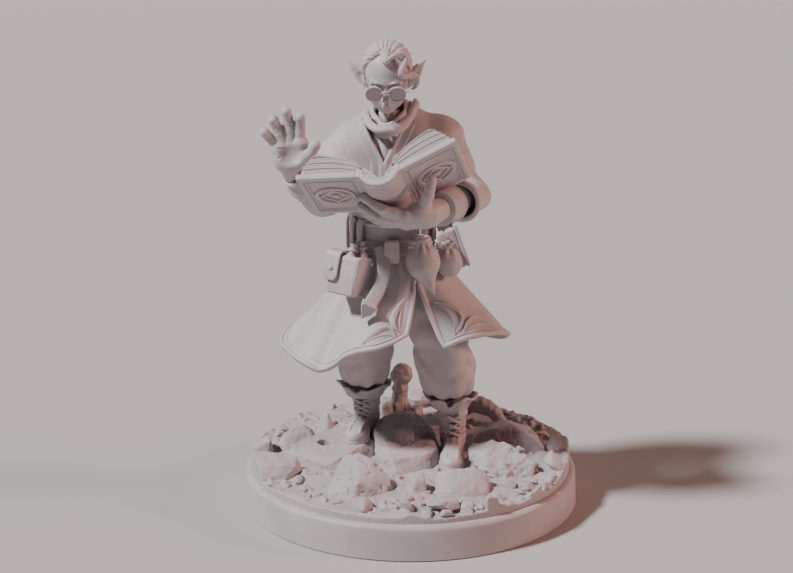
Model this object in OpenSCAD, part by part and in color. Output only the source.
// Resin printed tabletop miniature: a pointed-eared scholar reading an open book on a rocky round base.
// The frame's origin is the centre of the base's underside; the figure faces -Y and +Z is up.
// "Right" and "left" are the figure's own sides: its right hand is on -X.

/* [Base] */
// Diameter of the round base at the table
base_d = 25; // [24.5:0.1:26]
// Height of the base's smooth rim
rim_h = 2.6; // [2.2:0.1:2.8]
// How far the base's side leans in from bottom to top
rim_draft = 0.15; // [0:0.05:0.3]
// Width of the bevel on the rim's top edge
rim_bevel = 0.2; // [0.1:0.05:0.3]
// Depth of the recess that holds the scenic ground
recess_depth = 0.8; // [0.5:0.1:1.2]
// Height of the ground's flat level above the table
ground_z = 3.4; // [3.2:0.1:3.6]

/* [Figure] */
// Radius of the locating pegs under the boots
peg_r = 0.45; // [0.3:0.05:0.6]
// Length of the locating pegs under the boots
peg_l = 0.9; // [0.6:0.1:1.2]
// Thickness of the coat's cloth
cloth_t = 0.35; // [0.25:0.05:0.5]
// Half width of the waist
waist_a = 2.9; // [2.7:0.1:3.1]
// Half depth of the waist
waist_b = 2.35; // [2.2:0.05:2.5]

/* [Book] */
// Width of each cover board
cover_w = 4.55; // [4.3:0.05:4.8]
// Length of the cover boards from head to tail
cover_l = 6.45; // [6.2:0.05:6.6]
// Thickness of the cover boards
board_t = 0.45; // [0.35:0.05:0.55]
// Thickness of each half of the page block
pages_t = 1.1; // [0.9:0.05:1.2]

/* [Spectacles] */
// Outer radius of each rim
lens_r = 0.65; // [0.6:0.01:0.7]
// Radius of the wire
wire_r = 0.1; // [0.08:0.01:0.11]

/* [Hidden] */
round_fn = 48;
soft_fn = 16;
fine_fn = 12;

base_r = base_d / 2;
rim_top_r = base_r - rim_draft;
recess_r = rim_top_r - rim_bevel - 0.25;
recess_z = rim_h - recess_depth;

// Centre lines of the legs, from the boot's ankle up
heel_left = [3.2, 0.4, ground_z];
toe_left = [3.0, -3.9, ground_z];
ledge_z = ground_z + 0.95;
heel_right = [-3.2, 2.35, ledge_z];
toe_right = [-4.25, -0.75, ledge_z];
shaft_left = [3.1, 0.1, 7.7];
shaft_right = [-3.35, 1.9, 8.3];
hip_left = [0.5, 0.3, 17.6];
hip_right = [-2.6, 0.4, 17.6];
knee_left = [2.3, -0.9, 12.2];
knee_right = [-3.3, 0.3, 12.8];

// Trunk
waist = [-1.35, 0.2, 20.0];
sash_z = 20.3;
shirt_z = 21.7;
neck = [-1.45, 0.1, 28.6];
shoulder_right = [-3.9, 0.3, 27.1];
shoulder_left = [2.25, 0.4, 27.45];
elbow_right = [-6.3, -1.2, 23.6];
wrist_right = [-8.5, -3.7, 25.9];
elbow_left = [3.6, -0.4, 23.7];
wrist_left = [1.9, -5.6, 23.5];

// Head, tipped forward to read
head_c = [-1.7, -1.3, 32.2];
head_pitch = 24;

// Book: local x runs across the boards, y from head to tail, z towards the reader
book_at = [-2.25, -8.85, 26.7];
book_turn = [-35, -9.6, -6.6];
spine_half = 1.25;
spine_r = 1.55;
spine_z = 0.8;
open_right = 6;
open_left = 21;

function mid(a, b, t) = a + (b - a) * t;

// A limb of spheres joined two by two
module chain(pts, radii, fn = soft_fn) {
    for (i = [0 : len(pts) - 2])
        hull() {
            translate(pts[i]) sphere(radii[i], $fn = fn);
            translate(pts[i + 1]) sphere(radii[i + 1], $fn = fn);
        }
}

module above(z) {
    translate([-15, -15, z]) cube([30, 30, 40]);
}

module ellipse_ring(centre, a, b, z0, z1, t) {
    translate([centre[0], centre[1], z0])
        linear_extrude(z1 - z0)
            difference() {
                scale([1, b / a]) circle(a, $fn = round_fn);
                scale([1, (b - t) / (a - t)]) circle(a - t, $fn = round_fn);
            }
}

// ---- base and rocks ----

module base_plinth() {
    color("gainsboro")
        rotate_extrude($fn = 180)
            polygon([
                [0, 0], [base_r, 0], [rim_top_r, rim_h - rim_bevel], [rim_top_r - rim_bevel, rim_h],
                [recess_r, rim_h], [recess_r, recess_z], [0, recess_z]
            ]);
}

module boot_pegs() {
    translate([heel_left[0], heel_left[1], ground_z - peg_l])
        cylinder(r = peg_r, h = peg_l + 0.5, $fn = round_fn);
    translate([toe_left[0], toe_left[1] + 0.6, ground_z - peg_l])
        cylinder(r = peg_r, h = peg_l + 0.4, $fn = round_fn);
    translate([heel_right[0], heel_right[1], ledge_z - peg_l])
        cylinder(r = peg_r, h = peg_l + 0.5, $fn = round_fn);
}

module terrain_slab() {
    color("gainsboro")
        difference() {
            translate([0, 0, recess_z]) cylinder(r = recess_r, h = ground_z - recess_z, $fn = 180);
            boot_pegs();
        }
}

// A boulder: a coarse ball squashed to half sizes s, turned, and cut off at the ground and at the base's edge
module stone(c, s, turn, fn = 9) {
    intersection() {
        translate([c[0], c[1], ground_z]) rotate(turn) scale(s) sphere(1, $fn = fn);
        translate([0, 0, ground_z]) cylinder(r = recess_r, h = 8, $fn = 90);
    }
}

// A faceted boulder around points, standing on the ground and cut off at the base's edge
module boulder(points) {
    intersection() {
        hull()
            for (p = points)
                translate([p[0], p[1], max(p[2], ground_z)]) cube(0.2, center = true);
        translate([0, 0, ground_z]) cylinder(r = recess_r, h = 8, $fn = 90);
    }
}

module ledge_rock() {
    color("gainsboro")
        difference() {
            hull() {
                for (p = [
                    [-9.1, -1.5], [-8.4, 1.2], [-6.2, 3.4], [-2.6, 3.3], [-2.3, 0.4], [-3.2, -1.8],
                    [-5.2, -3.8], [-8.0, -2.6]
                ])
                    translate([p[0], p[1], ground_z]) cylinder(r = 0.2, h = 0.4, $fn = fine_fn);
                for (p = [
                    [-8.0, 0.5], [-5.8, 2.9], [-3.0, 2.9], [-2.6, 0.3], [-3.5, -1.5], [-5.2, -2.9],
                    [-8.4, -1.2]
                ])
                    translate([p[0], p[1], ground_z]) cylinder(r = 0.15, h = ledge_z - ground_z, $fn = fine_fn);
            }
            boot_pegs();
            translate([-6.45, -0.25, ledge_z - 0.4]) cylinder(r = 0.5, h = 1, $fn = round_fn);
        }
}

module peak_boulder() {
    color("gainsboro")
        boulder([
            [-6.1, -8.0, 0], [-4.4, -9.2, 0], [-1.4, -8.2, 0], [-1.0, -6.7, 0], [-1.5, -5.0, 0],
            [-4.2, -4.4, 0], [-5.8, -5.5, 0],
            [-3.75, -8.6, 4.35], [-5.4, -7.4, 4.1], [-4.8, -5.6, 5.1], [-3.75, -6.0, 5.55],
            [-2.6, -6.5, 5.1], [-1.5, -7.2, 4.1]
        ]);
}

module round_boulder_raw() {
    intersection() {
        stone([-0.5, 0.9], [2.4, 2.3, 2.65], [0, 8, 12], 11);
        translate([-2.05, -4, 0]) cube([6, 10, 10]);
    }
}

module round_boulder() {
    color("gainsboro") round_boulder_raw();
}

module split_rock() {
    color("gainsboro")
        difference() {
            boulder([
                [-3.0, -2.3, 0], [-1.0, -4.6, 0], [1.6, -3.5, 0], [2.0, -2.2, 0], [1.7, -0.4, 0],
                [-1.8, -0.4, 0],
                [-2.4, -2.6, 4.15], [-1.3, -3.9, 4.2], [1.2, -3.1, 4.35], [1.9, -1.9, 4.35],
                [1.6, -0.6, 4.65], [-1.8, -0.6, 4.65]
            ]);
            round_boulder_raw();
            ledge_rock();
        }
}

module flat_boulder() {
    color("gainsboro")
        boulder([
            [1.6, -6.5, 3.7], [1.9, -6.3, 4.5], [3.4, -6.4, 4.9], [5.0, -6.3, 4.65],
            [5.8, -7.1, 3.9], [5.4, -8.4, 0],
            [3.4, -9.1, 0], [1.8, -8.4, 0], [2.1, -8.1, 3.95], [4.8, -8.1, 3.95], [2.0, -5.5, 0], [5.0, -5.5, 0]
        ]);
}

module cobble_rock() {
    color("gainsboro")
        difference() {
            boulder([
                [4.3, -3.0, 3.9], [4.5, -2.1, 4.95], [6.0, -2.3, 5.25], [8.1, -3.2, 4.85],
                [9.1, -4.1, 4.0], [8.8, -4.8, 0],
                [6.6, -5.5, 0], [4.8, -4.8, 3.6], [5.2, -4.6, 4.2], [7.2, -4.6, 4.2], [4.7, -0.7, 0],
                [8.1, -0.9, 0]
            ]);
            flat_boulder();
        }
}

module right_boulder() {
    color("gainsboro")
        difference() {
            boulder([
                [4.7, 0.6, 4.4], [6.6, 0.35, 5.25], [7.45, 0.6, 5.4], [8.6, -0.4, 5.1],
                [10.0, -0.7, 4.1], [10.1, -0.8, 0],
                [4.7, -0.4, 0], [5.2, 3.9, 0], [9.5, 3.7, 0], [7.2, 3.1, 4.9], [9.2, 2.1, 4.5], [5.3, 2.7, 4.2]
            ]);
            cobble_rock();
        }
}

module left_boulder() {
    color("gainsboro")
        difference() {
            boulder([
                [-9.8, 0.2, 3.7], [-9.7, 1.1, 4.5], [-8.6, 1.6, 5.0], [-7.3, 1.2, 4.75], [-6.9, 1.3, 0],
                [-7.0, 3.5, 0],
                [-9.5, 3.3, 0], [-10.1, 1.8, 0], [-8.2, 2.9, 4.5], [-9.3, -0.2, 0]
            ]);
            ledge_rock();
        }
}

module rim_rocks() {
    color("gainsboro")
        difference() {
            union() {
                boulder([
                    [-11.5, -2.6, 4.3], [-10.8, -2.1, 4.4], [-8.3, -3.6, 4.2], [-7.8, -3.7, 0], [-9.2, -5.2, 0],
                    [-11.2, -4.8, 4.2], [-11.2, -4.9, 0], [-11.6, -2.2, 0]
                ]);
                stone([-11.0, 0.2], [0.85, 0.9, 1.3], [0, 0, 10]);
                stone([10.9, -3.0], [1.1, 1.1, 1.3], [0, 0, 20]);
                stone([11.1, 0.4], [1.0, 1.2, 1.2], [0, 0, 50]);
                stone([9.2, -8.0], [1.1, 0.8, 1.0], [0, 0, 35]);
                stone([5.7, -10.4], [0.75, 0.6, 0.75], [0, 0, 20]);
                stone([2.2, -10.6], [1.3, 0.8, 0.75], [0, 0, 25]);
                stone([-0.4, -10.8], [0.95, 0.8, 0.75], [0, 0, 60]);
                stone([-3.3, -10.5], [0.7, 0.6, 0.7], [0, 0, 15]);
                stone([9.6, 6.2], [1.5, 1.4, 1.4], [0, 0, 35]);
                stone([4.6, 10.3], [1.6, 1.3, 1.3], [0, 0, 5]);
                stone([0.6, 10.7], [1.4, 1.1, 1.2], [0, 0, 60]);
                stone([-3.6, 10.1], [1.5, 1.3, 1.5], [0, 0, 25]);
                stone([-6.6, 4.9], [0.85, 0.95, 1.4], [0, 0, 40]);
            }
            left_boulder();
            right_boulder();
        }
}

module pebbles() {
    color("gainsboro") {
        difference() {
            boulder([
                [-0.3, -7.2, 4.35], [0.7, -7.3, 4.5], [1.0, -7.9, 4.1], [0.9, -8.3, 0], [0.0, -8.4, 0],
                [-0.4, -7.5, 0],
                [0.9, -7.0, 0], [-0.2, -6.9, 0], [0.3, -8.1, 4.1]
            ]);
            peak_boulder();
        }
        for (p = [
            [-7.6, -7.2, 0.5], [-6.8, -8.9, 0.4], [-8.9, -6.6, 0.45], [-5.3, -10.0, 0.4], [7.0, -6.9, 0.45],
            [8.9, -5.9, 0.4], [-6.4, 7.0, 0.6], [-2.4, 8.6, 0.5], [5.2, 6.0, 0.5], [7.2, 8.4, 0.5],
            [-9.9, 4.6, 0.4], [10.4, 3.2, 0.4], [-8.6, 7.2, 0.45]
        ])
            stone([p[0], p[1]], [p[2] * 1.2, p[2], p[2] * 0.9], [0, 0, 40 * p[0]], 8);
    }
}

module rubble_stack() {
    color("gainsboro") {
        translate([-1.9, 6.0, ground_z]) rotate([0, 0, 12]) cube([2.3, 1.5, 1.6]);
        translate([-0.75, 6.9, ground_z + 1.6]) cylinder(r1 = 0.8, r2 = 0.6, h = 1.7, $fn = round_fn);
        translate([-0.75, 6.9, ground_z + 3.85]) sphere(0.85, $fn = round_fn);
    }
}

module root_arch() {
    color("gainsboro")
        intersection() {
            translate([5.3, 6.5, ground_z - 0.4]) rotate([90, 0, -24])
                rotate_extrude($fn = round_fn) translate([2.05, 0]) circle(0.6, $fn = round_fn);
            above(ground_z);
        }
}

// ---- boots and legs ----

module boot(heel, toe, shaft, z) {
    ankle = [heel[0], heel[1] - 0.1, z + 1.35];
    ball = mid(heel, toe, 0.72);
    intersection() {
        union() {
            chain(
                [toe + [0, 0, 0.5], [ball[0], ball[1], z + 0.6], ankle, shaft],
                [0.55, 0.85, 0.95, 1.15]
            );
            hull() {
                translate([heel[0], heel[1], z]) cylinder(r = 0.8, h = 1.2, $fn = soft_fn);
                translate([ball[0], ball[1], z]) cylinder(r = 0.82, h = 0.5, $fn = soft_fn);
            }
            hull() {
                translate([toe[0], toe[1], z]) cylinder(r = 0.6, h = 0.4, $fn = soft_fn);
                translate([ball[0], ball[1], z]) cylinder(r = 0.85, h = 0.45, $fn = soft_fn);
            }
        }
        translate([-15, -15, z]) cube([30, 30, shaft[2] - z]);
    }
}

module boot_left() {
    color("silver") {
        boot(heel_left, toe_left, shaft_left, ground_z);
        translate([heel_left[0], heel_left[1], ground_z - peg_l])
            cylinder(r = peg_r, h = peg_l, $fn = round_fn);
        translate([toe_left[0], toe_left[1] + 0.6, ground_z - peg_l])
            cylinder(r = peg_r, h = peg_l, $fn = round_fn);
    }
}

module boot_right() {
    color("silver") {
        boot(heel_right, toe_right, shaft_right, ledge_z);
        translate([heel_right[0], heel_right[1], ledge_z - peg_l])
            cylinder(r = peg_r, h = peg_l, $fn = round_fn);
    }
}

// A turned-out boot top: a flared ring around the shaft's end
module cuff(top, lean) {
    translate([top[0] + lean[0], top[1] + lean[1], top[2] - 0.45])
        rotate_extrude($fn = round_fn)
            polygon([[1.17, 0], [1.3, 0], [2.05, 0.95], [1.95, 1.1], [1.17, 0.55]]);
}

module boot_cuff_left() {
    color("silver") cuff(shaft_left, [0, 0]);
}

module boot_cuff_right() {
    color("silver") cuff(shaft_right, [0, 0]);
}

// Crossed laces up the front of a boot's shaft; dir is the way the toe points
module laces(shaft, z, dir, rows) {
    turn = atan2(dir[1], dir[0]) + 90;
    for (i = [0 : rows - 1], side = [-1, 1])
        translate([shaft[0], shaft[1], z + 0.55 * i])
            rotate([0, 0, turn])
                hull() {
                    translate([-0.42 * side, -1.16, 0]) sphere(0.1, $fn = 8);
                    translate([0.42 * side, -1.16, 0.38]) sphere(0.1, $fn = 8);
                }
}

module boot_laces() {
    color("silver") {
        difference() {
            laces(shaft_left, 4.9, toe_left - heel_left, 3);
            boot_left();
        }
        difference() {
            laces(shaft_right, 6.2, toe_right - heel_right, 3);
            boot_right();
        }
    }
}

module leg(hip, knee, shaft) {
    bulge = [shaft[0] - 0.25, shaft[1], shaft[2] + 2.4];
    difference() {
        chain(
            [hip, knee, bulge, shaft + [0, 0, 1.0]],
            [1.55, 1.75, 2.05, 1.15]
        );
        translate([-15, -15, 0]) cube([30, 30, shaft[2]]);
        hips_raw();
    }
}

module trouser_left() {
    color("lightgrey")
        difference() {
            leg(hip_left, knee_left, shaft_left);
            cuff(shaft_left, [0, 0]);
        }
}

module trouser_right() {
    color("lightgrey")
        difference() {
            leg(hip_right, knee_right, shaft_right);
            cuff(shaft_right, [0, 0]);
            trouser_left();
        }
}

module hips_raw() {
    hull() {
        translate([waist[0] - 1.1, waist[1], 18.4]) sphere(1.45, $fn = soft_fn);
        translate([waist[0] + 1.1, waist[1], 18.4]) sphere(1.45, $fn = soft_fn);
        translate([waist[0], waist[1], 19.25]) scale([1, (waist_b - 0.48) / (waist_a - 0.48), 1])
            cylinder(r = waist_a - 0.48, h = sash_z - 19.25, $fn = 48);
    }
}

module hips() {
    color("lightgrey") hips_raw();
}

// ---- coat skirt ----

// The hem by its turn about the waist: [degrees from +X, distance from the axis, height]
hem = [
    [-55, 5.7, 13.1], [-44, 6.7, 13.7], [-30, 7.4, 13.7], [-16, 7.9, 13.4], [0, 8.2, 12.6],
    [30, 7.2, 11.8], [60, 6.2, 12.0], [90, 5.8, 12.3], [120, 6.4, 11.9], [150, 7.8, 12.2],
    [180, 8.7, 12.0], [196, 8.2, 12.0], [212, 7.9, 11.8], [224, 7.4, 11.6], [233, 6.6, 12.6],
    [241, 6.0, 13.1], [255, 5.9, 13.4], [277, 4.8, 14.0]
];
hem_centre = [-0.9, 0.2];
skirt_top = 19.25;
slit_u = 0.33;
slit_turn = [-61, 298];
skirt_cols = 46;
skirt_rows = 9;

function hem_r(t) = lookup(t, [for (h = hem) [h[0], h[1]]]);
function hem_z(t) = lookup(t, [for (h = hem) [h[0], h[2]]]);
function slit_open(u) = max(0, (u - slit_u) / (1 - slit_u));
function skirt_turn(s, u) =
    slit_turn[0] + slit_open(u) * (hem[0][0] - slit_turn[0])
    + s * (slit_turn[1] - slit_turn[0]
        + slit_open(u) * (hem[len(hem) - 1][0] - slit_turn[1] - hem[0][0] + slit_turn[0]));
// A point on the coat at s round and u down it; off moves it inwards
function skirt_point(s, u, off) =
    let (
        t = skirt_turn(s, u),
        tc = max(hem[0][0], min(hem[len(hem) - 1][0], t)),
        flare = 1 + 0.45 * pow(max(0, -cos(t)), 2),
        top_r = 1 / sqrt(pow(cos(t) / (waist_a + 0.1), 2) + pow(sin(t) / (waist_b + 0.1), 2)),
        r = top_r + (hem_r(tc) - top_r) * pow(u, flare) - off,
        c = mid([waist[0], waist[1]], hem_centre, u)
    )
    [c[0] + r * cos(t), c[1] + r * sin(t), skirt_top + (hem_z(tc) - skirt_top) * u + off * 0.3];

// A closed shell from a grid of outer points and the same grid moved inwards
module sheet_shell(outer, inner) {
    rows = len(outer);
    cols = len(outer[0]);
    n = rows * cols;
    flat = concat([for (r = outer) each r], [for (r = inner) each r]);
    faces = concat(
        [for (i = [0 : rows - 2], j = [0 : cols - 2]) let (a = i * cols + j) [a, a + 1, a + cols + 1]],
        [for (i = [0 : rows - 2], j = [0 : cols - 2]) let (a = i * cols + j) [a, a + cols + 1, a + cols]],
        [for (i = [0 : rows - 2], j = [0 : cols - 2]) let (a = n + i * cols + j) [a, a + cols + 1, a + 1]],
        [for (i = [0 : rows - 2], j = [0 : cols - 2]) let (a = n + i * cols + j) [a, a + cols, a + cols + 1]],
        [for (j = [0 : cols - 2]) [j, n + j, n + j + 1, j + 1]],
        [for (j = [0 : cols - 2]) let (a = (rows - 1) * cols + j) [a, a + 1, n + a + 1, n + a]],
        [for (i = [0 : rows - 2]) let (a = i * cols) [a, a + cols, n + a + cols, n + a]],
        [for (i = [0 : rows - 2]) let (a = i * cols + cols - 1) [a, n + a, n + a + cols, a + cols]]
    );
    polyhedron(flat, faces);
}

module coat_skirt() {
    outer = [for (i = [0 : skirt_rows])
        [for (j = [0 : skirt_cols]) skirt_point(j / skirt_cols, i / skirt_rows, 0)]];
    inner = [for (i = [0 : skirt_rows])
        [for (j = [0 : skirt_cols]) skirt_point(j / skirt_cols, i / skirt_rows, cloth_t)]];
    color("whitesmoke") sheet_shell(outer, inner);
}

// A thin tube of square section along a list of points, used for the raised edges on cloth
module bead(pts, r) {
    for (i = [0 : len(pts) - 2])
        hull() {
            translate(pts[i]) sphere(r, $fn = 6);
            translate(pts[i + 1]) sphere(r, $fn = 6);
        }
}

module coat_piping() {
    edge_r = [for (u = [slit_u + 0.05 : 0.1 : 0.97]) skirt_point(0.004, u, -0.12)];
    bottom = [for (s = [0.004 : 0.031 : 0.996]) skirt_point(s, 0.985, -0.12)];
    edge_l = [for (u = [0.97 : -0.1 : slit_u + 0.05]) skirt_point(0.996, u, -0.12)];
    color("whitesmoke")
        difference() {
            bead(concat(edge_r, bottom, edge_l), 0.14);
            coat_skirt();
        }
}

// A leaf on the coat from the corner at s, u: a short bow of bead
module leaf(s0, u0, s1, u1, bow_s, bow_u) {
    pts = [for (k = [0 : 0.2 : 1])
        skirt_point(
            mid(s0, s1, k) + bow_s * sin(180 * k),
            mid(u0, u1, k) + bow_u * sin(180 * k),
            -0.1
        )];
    bead(pts, 0.15);
}

module coat_leaf_trim() {
    color("whitesmoke")
        difference() {
            union() {
                leaf(0.972, 0.93, 0.965, 0.55, -0.03, 0);
                leaf(0.965, 0.95, 0.88, 0.95, 0, -0.16);
                leaf(0.028, 0.93, 0.035, 0.55, 0.03, 0);
                leaf(0.035, 0.95, 0.12, 0.95, 0, -0.16);
            }
            coat_skirt();
        }
}

// ---- waist ----

module waist_sash() {
    color("whitesmoke") ellipse_ring(waist, waist_a + 0.05, waist_b + 0.05, sash_z, shirt_z - 0.1, 0.5);
}

module belt() {
    color("lightgrey") {
        ellipse_ring(waist, waist_a + 0.22, waist_b + 0.22, 19.25, sash_z, 0.7);
        for (t = [205, 232, 318, 40, 90, 140])
            translate([waist[0], waist[1], 0]) rotate([0, 0, t])
                translate([3.12 / sqrt(pow(cos(t), 2) + pow(3.12 / 2.57 * sin(t), 2)) - 0.02, -0.3, 19.15])
                    cube([0.2, 0.6, 2.3]);
    }
}

module belt_keeper() {
    color("silver")
        translate([-1.4, -2.7, 19.0]) rotate([0, 0, -3]) translate([-0.55, -0.4, 0]) cube([1.1, 0.4, 1.45]);
}

module belt_tail() {
    color("lightgrey")
        bead_strip([
            [-2.15, -2.75, 20.2], [-1.95, -3.3, 18.8], [-2.1, -3.85, 17.7], [-2.65, -4.4, 16.75],
            [-3.05, -4.75, 16.0]
        ]);
}

// A flat strap through points, each stretch a thin hull
module bead_strip(pts) {
    for (i = [0 : len(pts) - 2])
        hull() {
            translate(pts[i]) rotate([12, 0, 0]) cube([1.0, 0.3, 0.1], center = true);
            translate(pts[i + 1]) rotate([12, 0, 0])
                cube([i == len(pts) - 2 ? 0.3 : 1.0, 0.3, 0.1], center = true);
        }
}

pouch_at = [-4.65, -3.35, 16.7];
pouch_turn = [-16, 0, -34];

module box_pouch() {
    color("whitesmoke")
        translate(pouch_at) rotate(pouch_turn)
            difference() {
                hull() {
                    translate([-1.1, -0.85, 0]) cube([2.2, 1.6, 0.2]);
                    translate([-1.3, -0.95, 0.6]) cube([2.6, 1.9, 1.9]);
                }
                translate([-1.0, -0.7, 2.0]) cube([2.0, 1.4, 1]);
            }
}

module box_pouch_flap() {
    color("whitesmoke")
        translate(pouch_at) rotate(pouch_turn) {
            translate([-1.35, -1.15, 1.0]) cube([1.3, 0.2, 1.75]);
            translate([-1.35, -0.95, 2.52]) cube([1.3, 1.9, 0.23]);
            translate([-0.7, -1.15, 1.5]) rotate([90, 0, 0]) cylinder(r = 0.2, h = 0.15, $fn = round_fn);
        }
}

module potion_bottles() {
    color("silver")
        translate(pouch_at) rotate(pouch_turn)
            for (p = [[0.35, -0.32], [0.45, 0.4]])
                translate([p[0], p[1], 2.0])
                    rotate_extrude($fn = round_fn)
                        polygon([
                            [0, 0], [0.3, 0], [0.3, 0.55], [0.18, 0.7], [0.18, 0.9], [0.3, 0.95], [0.3, 1.2],
                            [0, 1.25]
                        ]);
}

drop_top = [0.65, -3.1, 20.1];

module drop_pouch() {
    color("whitesmoke")
        hull() {
            translate(drop_top + [0.15, -0.3, -0.9]) sphere(1.15, $fn = soft_fn);
            translate(drop_top + [0.1, -0.1, 0]) sphere(0.4, $fn = soft_fn);
            translate(drop_top + [0.95, -1.05, -3.3]) sphere(0.2, $fn = soft_fn);
        }
}

module round_pouch() {
    color("whitesmoke")
        hull() {
            translate([2.5, -1.95, 19.2]) sphere(0.85, $fn = soft_fn);
            translate([2.7, -1.95, 18.6]) sphere(0.9, $fn = soft_fn);
            translate([2.3, -1.9, 20.05]) sphere(0.35, $fn = soft_fn);
        }
}

module pouch_ties() {
    color("silver") {
        translate(drop_top + [0.1, -0.1, 0.3]) cylinder(r = 0.55, h = 0.55, $fn = round_fn);
        translate([2.25, -1.92, 20.35]) rotate([0, -20, 0])
            rotate_extrude($fn = round_fn) translate([0.28, 0]) circle(0.2, $fn = 24);
    }
}

module hip_satchel() {
    color("whitesmoke")
        translate([2.65, 0.2, 18.1]) rotate([0, -20, 8]) {
            translate([-0.15, -1.3, 0]) cube([0.7, 2.4, 2.9]);
            translate([0.6, -1.4, -0.1]) cube([0.18, 2.6, 3.1]);
        }
}

// ---- trunk ----

module shirt_raw() {
    hull() {
        translate([waist[0], waist[1], sash_z]) scale([1, (waist_b - 0.45) / (waist_a - 0.45), 1])
            cylinder(r = waist_a - 0.45, h = 1.4, $fn = 48);
        translate([-1.1, 0.2, 25.6]) scale([1.2, 1, 1]) sphere(1.7, $fn = soft_fn);
        translate(neck - [0, 0, 0.9]) cylinder(r = 0.9, h = 0.4, $fn = soft_fn);
    }
}

module torso_shirt() {
    color("lightgrey")
        difference() {
            shirt_raw();
            scarf_raw();
        }
}

module mantle_raw() {
    hull() {
        translate(shoulder_right) sphere(1.2, $fn = soft_fn);
        translate(shoulder_left) sphere(1.2, $fn = soft_fn);
        translate([-3.0, 0.5, 22.0]) sphere(2.0, $fn = soft_fn);
        translate([0.7, 0.6, 22.0]) sphere(2.0, $fn = soft_fn);
        translate([-1.1, 0.8, 25.5]) sphere(1.9, $fn = soft_fn);
        translate(neck + [0.1, 0.5, -0.8]) sphere(1.35, $fn = soft_fn);
    }
}

module robe_mantle() {
    color("whitesmoke")
        difference() {
            mantle_raw();
            shirt_raw();
            scarf_raw();
            translate([0, 0, 0]) cube([60, 60, 2 * shirt_z], center = true);
            translate([-1.95, -0.3, 26.0]) rotate([90, 0, 0])
                linear_extrude(8) polygon([[0, -0.6], [1.5, 3.2], [-1.5, 3.2]]);
            arm_left_raw();
            arm_right_raw();
        }
}

module robe_lapels() {
    color("whitesmoke")
        difference() {
            for (side = [-1, 1])
                hull() {
                    translate([-1.85 + side * 1.2, -1.25, 28.2]) sphere(0.28, $fn = fine_fn);
                    translate([-1.9 + side * 0.15, -2.0, 25.3]) sphere(0.28, $fn = fine_fn);
                }
            robe_mantle();
            shirt_raw();
            scarf_raw();
        }
}

module scarf_raw() {
    translate(neck + [-0.12, -0.38, 0.35]) rotate([13, 0, 0])
        scale([1, 1.1, 1]) rotate_extrude($fn = 40) translate([1.5, 0]) circle(0.34, $fn = 20);
    translate(neck + [-0.12, -0.38, 0.72]) rotate([15, 0, 0])
        scale([1, 1.05, 1]) rotate_extrude($fn = 40) translate([1.18, 0]) circle(0.26, $fn = 20);
    translate(neck + [-0.05, -0.2, -0.02]) rotate([13, 0, 0])
        scale([1, 1.1, 1]) rotate_extrude($fn = 40) translate([1.5, 0]) circle(0.24, $fn = 20);
}

module scarf() {
    color("whitesmoke") scarf_raw();
}

module arm_right_raw() {
    chain(
        [shoulder_right, [-4.95, -0.3, 25.85], elbow_right + [0, 0, 0.15], mid(elbow_right, wrist_right, 0.9)],
        [1.3, 1.45, 1.35, 0.8]
    );
}

module sleeve_right() {
    color("whitesmoke")
        difference() {
            arm_right_raw();
            hand_right();
        }
}

mouth = [3.6, -2.5, 23.4];
mouth_turn = [90, 0, -22];
mouth_back = [3.8, -1.9, 23.4];

module arm_left_raw() {
    hull() {
        translate(shoulder_left) sphere(1.35, $fn = 20);
        translate([2.9, 0.3, 25.7]) sphere(1.25, $fn = 20);
        translate([3.35, -0.4, 24.2]) sphere(1.4, $fn = 20);
        translate(mouth) rotate(mouth_turn) cylinder(r = 1.5, h = 0.4, $fn = 24);
        translate([3.2, 0.5, 22.9]) sphere(0.8, $fn = soft_fn);
    }
}

module sleeve_left() {
    color("whitesmoke")
        difference() {
            arm_left_raw();
            translate(mouth_back) rotate(mouth_turn) cylinder(r = 1.22, h = 3, $fn = round_fn);
        }
}

module undersleeve_left() {
    color("lightgrey")
        difference() {
            chain([[3.8, -2.2, 23.2], mid(elbow_left, wrist_left, 0.62)], [1.05, 1.2]);
            translate(mouth_back) rotate(mouth_turn) translate([0, 0, -3])
                cylinder(r = 4, h = 3, $fn = round_fn);
            hand_left();
        }
}

module bracer_left() {
    color("lightgrey")
        difference() {
            chain([mid(elbow_left, wrist_left, 0.7), wrist_left], [1.3, 1.15]);
            undersleeve_left();
            hand_left();
        }
}

// ---- hands ----

// Fingers as [root, knuckle, tip] with one radius at the root and one at the tip
module fingers(list, r0, r1) {
    for (f = list) chain(f, [r0, mid(r0, r1, 0.5), r1], 10);
}

module hand_right() {
    color("gainsboro") {
        hull() {
            translate([-9.3, -4.0, 27.6]) sphere(0.42, $fn = fine_fn);
            translate([-7.6, -4.0, 27.9]) sphere(0.42, $fn = fine_fn);
            translate([-7.8, -4.05, 26.6]) sphere(0.55, $fn = fine_fn);
            translate([-9.0, -4.0, 26.6]) sphere(0.48, $fn = fine_fn);
            translate(wrist_right) sphere(0.55, $fn = fine_fn);
        }
        fingers([
            [[-9.5, -4.0, 27.8], [-9.9, -4.15, 28.3], [-10.15, -4.4, 28.65]],
            [[-9.05, -4.0, 28.1], [-9.35, -4.1, 28.9], [-9.55, -4.35, 29.5]],
            [[-8.4, -4.0, 28.2], [-8.55, -4.1, 29.3], [-8.65, -4.35, 30.15]],
            [[-7.65, -4.0, 28.1], [-7.7, -4.1, 29.1], [-7.72, -4.35, 29.7]],
            [[-7.6, -4.1, 26.5], [-6.95, -4.4, 27.2], [-6.6, -4.6, 27.85]]
        ], 0.42, 0.34);
    }
}

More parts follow.
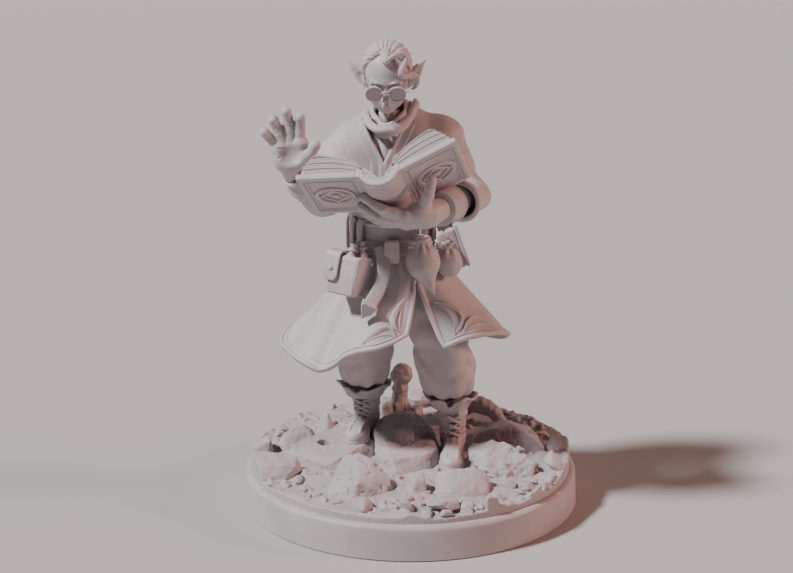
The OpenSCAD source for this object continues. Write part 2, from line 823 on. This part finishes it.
module hand_left() {
    color("gainsboro")
        difference() {
            union() {
                hull() {
                    translate([-0.55, -6.75, 23.15]) sphere(0.5, $fn = fine_fn);
                    translate([0.5, -6.75, 23.6]) sphere(0.58, $fn = fine_fn);
                    translate([1.05, -6.2, 23.3]) sphere(0.8, $fn = fine_fn);
                    translate([-0.3, -6.2, 22.85]) sphere(0.52, $fn = fine_fn);
                    translate(wrist_left + [-0.2, -0.1, 0]) sphere(0.8, $fn = fine_fn);
                }
                fingers([
                    [[-0.5, -7.0, 23.5], [-1.8, -7.2, 23.8], [-3.2, -6.45, 24.55]],
                    [[-0.7, -6.7, 23.1], [-2.1, -6.75, 23.25], [-3.45, -5.95, 23.85]],
                    [[-0.6, -6.3, 22.8], [-1.9, -6.2, 22.75], [-3.05, -5.45, 23.2]],
                    [[0.75, -6.75, 23.9], [1.12, -7.1, 24.85], [1.35, -7.0, 25.85]]
                ], 0.42, 0.32);
            }
            book_frame() boards_raw();
        }
}

// ---- head ----

module head_frame() {
    translate(head_c) rotate([head_pitch, 0, -3]) children();
}

module skull_raw() {
    hull() {
        translate([0, 0.25, 0.55]) sphere(1.62, $fn = 20);
        translate([0, -0.7, 0.4]) sphere(1.3, $fn = 20);
        translate([0, -1.15, -2.05]) sphere(0.45, $fn = soft_fn);
        translate([-0.75, -0.4, -1.5]) sphere(0.45, $fn = soft_fn);
        translate([0.75, -0.4, -1.5]) sphere(0.45, $fn = soft_fn);
    }
}

module head_raw() {
    head_frame() {
        skull_raw();
        hull() {
            translate([0, -1.75, 0.1]) sphere(0.18, $fn = fine_fn);
            translate([0, -2.05, -0.65]) sphere(0.24, $fn = fine_fn);
        }
    }
    hull() {
        translate([-1.6, -0.7, 30.6]) sphere(0.75, $fn = soft_fn);
        translate(neck + [0, 0, -0.8]) cylinder(r = 0.8, h = 0.3, $fn = soft_fn);
    }
}

module head() {
    color("gainsboro")
        difference() {
            head_raw();
            shirt_raw();
            scarf_raw();
        }
}

module hair_raw() {
    head_frame()
        difference() {
            hull() {
                translate([0, 0.3, 0.72]) sphere(1.8, $fn = 22);
                translate([0, -0.35, 1.0]) sphere(1.55, $fn = 20);
                translate([0, 1.1, -0.9]) sphere(0.85, $fn = soft_fn);
            }
            translate([-3, -4.6, -3.2]) cube([6, 3.4, 4.5]);
            translate([-3, -3, -3.9]) cube([6, 3.1, 3.6]);
        }
}

module hair() {
    color("whitesmoke")
        difference() {
            hair_raw();
            head_frame() skull_raw();
            head_raw();
            ears_raw();
            hair_lock();
        }
}

module hair_lock() {
    color("whitesmoke")
        head_frame()
            chain(
                [[0.2, -1.75, 1.75], [0.75, -1.75, 2.05], [1.15, -1.75, 1.7], [1.15, -1.85, 1.0],
                [1.6, -1.6, 0.65], [2.05, -1.25, 0.35], [1.95, -1.15, -0.2]],
                [0.16, 0.24, 0.26, 0.24, 0.26, 0.26, 0.14], 8
            );
}

module ears_raw() {
    head_frame()
        for (side = [-1, 1])
            hull() {
                translate([side * 1.55, -0.15, -0.35]) sphere(0.28, $fn = fine_fn);
                translate([side * 1.8, 0.25, 0.35]) sphere(0.3, $fn = fine_fn);
                translate([side * 2.7, 0.55, 1.0]) sphere(0.12, $fn = 8);
            }
}

module ears() {
    color("gainsboro")
        difference() {
            ears_raw();
            head_raw();
            hair_lock();
        }
}

lens_gap = 0.82;

module lens_place(side) {
    head_frame() translate([side * lens_gap, -2.15, -0.15]) rotate([90, 0, 0]) children();
}

module spectacle_frame() {
    color("silver") {
        for (side = [-1, 1]) {
            lens_place(side)
                rotate_extrude($fn = round_fn) translate([lens_r - wire_r, 0]) circle(wire_r, $fn = 24);
            head_frame()
                hull() {
                    translate([side * (lens_gap + lens_r - wire_r), -2.15, 0.0]) sphere(wire_r, $fn = fine_fn);
                    translate([side * 1.47, -0.5, 0.1]) sphere(wire_r, $fn = fine_fn);
                }
        }
        head_frame() translate([0, -2.2, -0.05]) rotate([0, 90, 0])
            cylinder(r = 0.7 * wire_r, h = 2 * (lens_gap - lens_r + wire_r), center = true, $fn = 24);
    }
}

module spectacle_lenses() {
    color("silver")
        for (side = [-1, 1])
            difference() {
                lens_place(side) cylinder(r = lens_r - wire_r, h = 0.1, center = true, $fn = round_fn);
                lens_place(side)
                    rotate_extrude($fn = round_fn) translate([lens_r - wire_r, 0]) circle(wire_r, $fn = 24);
            }
}

// ---- book ----

module book_frame() {
    translate(book_at) rotate(book_turn) children();
}

// One board's local frame: x outwards from its hinge, z towards the pages
module board_frame(side) {
    translate([side * spine_half, 0, 0])
        rotate([0, side > 0 ? -open_left : open_right, 0])
            mirror([side > 0 ? 0 : 1, 0, 0])
                children();
}

module board() {
    translate([0, 0, 0]) cube([cover_w, cover_l, board_t]);
}

module spine_raw() {
    translate([0, 0, spine_z]) rotate([-90, 0, 0])
        linear_extrude(cover_l)
            difference() {
                circle(spine_r, $fn = round_fn);
                circle(spine_r - board_t, $fn = round_fn);
                translate([-3, -5 + 0.18]) square([6, 5]);
            }
}

module spine_disc() {
    translate([0, 0, spine_z]) rotate([-90, 0, 0]) cylinder(r = spine_r, h = cover_l, $fn = round_fn);
}

module boards_raw() {
    board_frame(-1) board();
    board_frame(1) board();
    spine_raw();
}

module book_cover_right() {
    color("whitesmoke") book_frame() difference() {
        board_frame(-1) board();
        spine_disc();
    }
}

module book_cover_left() {
    color("whitesmoke") book_frame() difference() {
        board_frame(1) board();
        spine_disc();
    }
}

module book_spine() {
    color("whitesmoke") book_frame() spine_raw();
}

// Half a page block: it rises out of the spine's hollow and levels out to the fore edge
module leaves(side) {
    translate([0, 0.2, board_t]) rotate([-90, 0, 0]) mirror([0, 1, 0])
        linear_extrude(cover_l - 0.4)
            polygon(concat(
                [[-0.9, -0.5], [-0.4, -0.35], [0.1, 0], [cover_w - 0.35, 0], [cover_w - 0.6, pages_t]],
                [for (k = [0 : 8]) [mid(2.9, -1.0, k / 8), pages_t * (1.12 - 1.42 * pow(k / 8, 2.2))]]
            ));
}

module pages_right() {
    color("white") book_frame() difference() {
        board_frame(-1) leaves(-1);
        spine_raw();
        board_frame(1) union() { leaves(1); board(); }
    }
}

module pages_left() {
    color("white") book_frame() difference() {
        board_frame(1) leaves(1);
        spine_raw();
    }
}

// A plain raised ring and boss on the outside of each board
module cover_ornaments() {
    color("whitesmoke") book_frame()
        for (side = [-1, 1])
            board_frame(side) {
                translate([cover_w * 0.535, cover_l / 2, -0.12]) difference() {
                    cylinder(r = 1.46, h = 0.12, $fn = round_fn);
                    translate([0, 0, -1]) cylinder(r = 1.14, h = 3, $fn = round_fn);
                }
                translate([cover_w * 0.535, cover_l / 2, -0.12]) cylinder(r = 0.4, h = 0.12, $fn = round_fn);
            }
}

base_plinth();
terrain_slab();
ledge_rock();
peak_boulder();
round_boulder();
split_rock();
flat_boulder();
cobble_rock();
right_boulder();
left_boulder();
rim_rocks();
pebbles();
rubble_stack();
root_arch();
boot_right();
boot_left();
boot_cuff_right();
boot_cuff_left();
boot_laces();
trouser_right();
trouser_left();
hips();
coat_skirt();
coat_piping();
coat_leaf_trim();
waist_sash();
belt();
belt_keeper();
belt_tail();
box_pouch();
box_pouch_flap();
potion_bottles();
drop_pouch();
round_pouch();
pouch_ties();
hip_satchel();
torso_shirt();
robe_mantle();
robe_lapels();
scarf();
sleeve_right();
sleeve_left();
undersleeve_left();
bracer_left();
hand_right();
hand_left();
head();
hair();
hair_lock();
ears();
spectacle_frame();
spectacle_lenses();
book_cover_right();
book_cover_left();
book_spine();
pages_right();
pages_left();
cover_ornaments();
